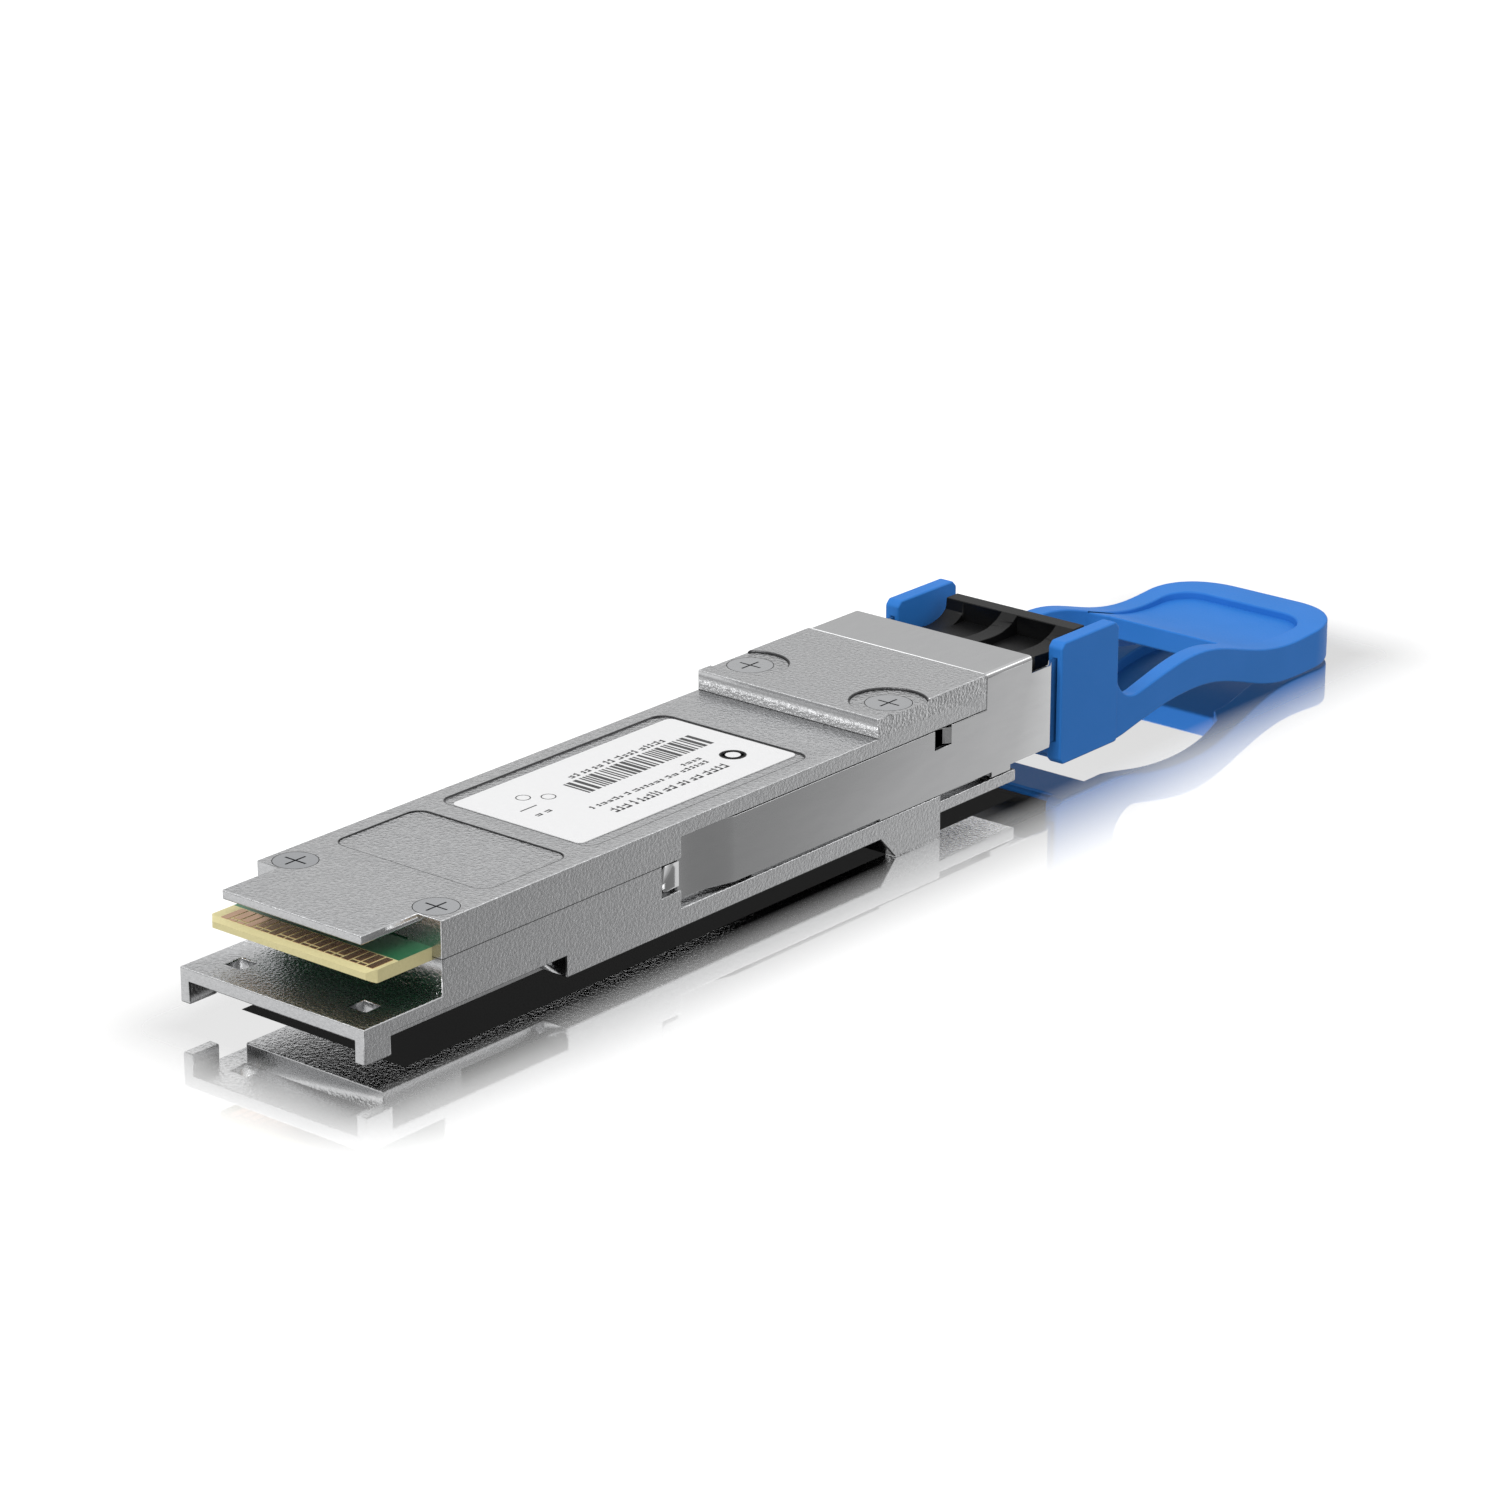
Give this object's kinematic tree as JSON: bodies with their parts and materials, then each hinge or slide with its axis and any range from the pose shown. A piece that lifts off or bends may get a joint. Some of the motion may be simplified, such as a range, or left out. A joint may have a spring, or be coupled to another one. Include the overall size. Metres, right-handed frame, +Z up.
{
  "type": "optical transceiver module",
  "caption": "Long flat metal pluggable fibre transceiver with a card edge at one end, duplex optical ports and a blue pull tab that slides a sheet-metal release latch.",
  "frame": {"origin": "on the floor under the middle of the overall length and width, on the front foot's bottom face", "axes": "+Z up; the module lies along Y, card edge towards +Y, optical ports and pull tab towards -Y; X across"},
  "size_m": [0.0184, 0.124, 0.0121],
  "materials": {
    "cast_metal": "fine grained, nickel plated cast zinc",
    "screw_steel": "satin",
    "spring_steel": "drawn wire",
    "black_polymer": "moulded matt",
    "board_laminate": "glass laminate with solder mask",
    "gold_plating": "plated",
    "label_film": "printed film",
    "package_metal": "satin",
    "barrel_steel": "turned",
    "zirconia": "polished ceramic",
    "sheet_metal": "satin sheet",
    "flex_film": "amber film",
    "chip_resin": "moulded",
    "passive_ceramic": "fired ceramic",
    "thermal_gel": "soft",
    "blue_polymer": "moulded satin"
  },
  "bodies": {
    "module": {"bottom_housing": "cast_metal", "top_cover": "cast_metal", "rear_screws": "screw_steel", "front_screws": "screw_steel", "return_spring_right": "spring_steel", "return_spring_left": "spring_steel", "lc_receptacle": "black_polymer", "circuit_board": "board_laminate", "contacts_top": "gold_plating", "contacts_bottom": "gold_plating", "product_label": "label_film", "transmitter_package": "package_metal", "receiver_package": "package_metal", "transmitter_barrel": "barrel_steel", "receiver_barrel": "barrel_steel", "ferrule_sleeves": "zirconia", "barrel_clamp": "sheet_metal", "transmitter_flex": "flex_film", "receiver_flex": "flex_film", "retimer_chip": "chip_resin", "laser_driver_chip": "chip_resin", "amplifier_chip": "chip_resin", "microcontroller": "chip_resin", "passives": "passive_ceramic", "retimer_thermal_pad": "thermal_gel", "package_thermal_pads": "thermal_gel"},
    "latch": {"delatch_slider": "sheet_metal", "pull_tab": "blue_polymer"}
  },
  "joints": [
    {"name": "latch_slide", "type": "slide", "parent": "module", "child": "latch", "axis": [0, -1, 0], "range_m": [0, 0.002], "stiffness_N_per_m": 600, "springref_m": -0.001, "deforming": ["return_spring_right", "return_spring_left"]}
  ]
}
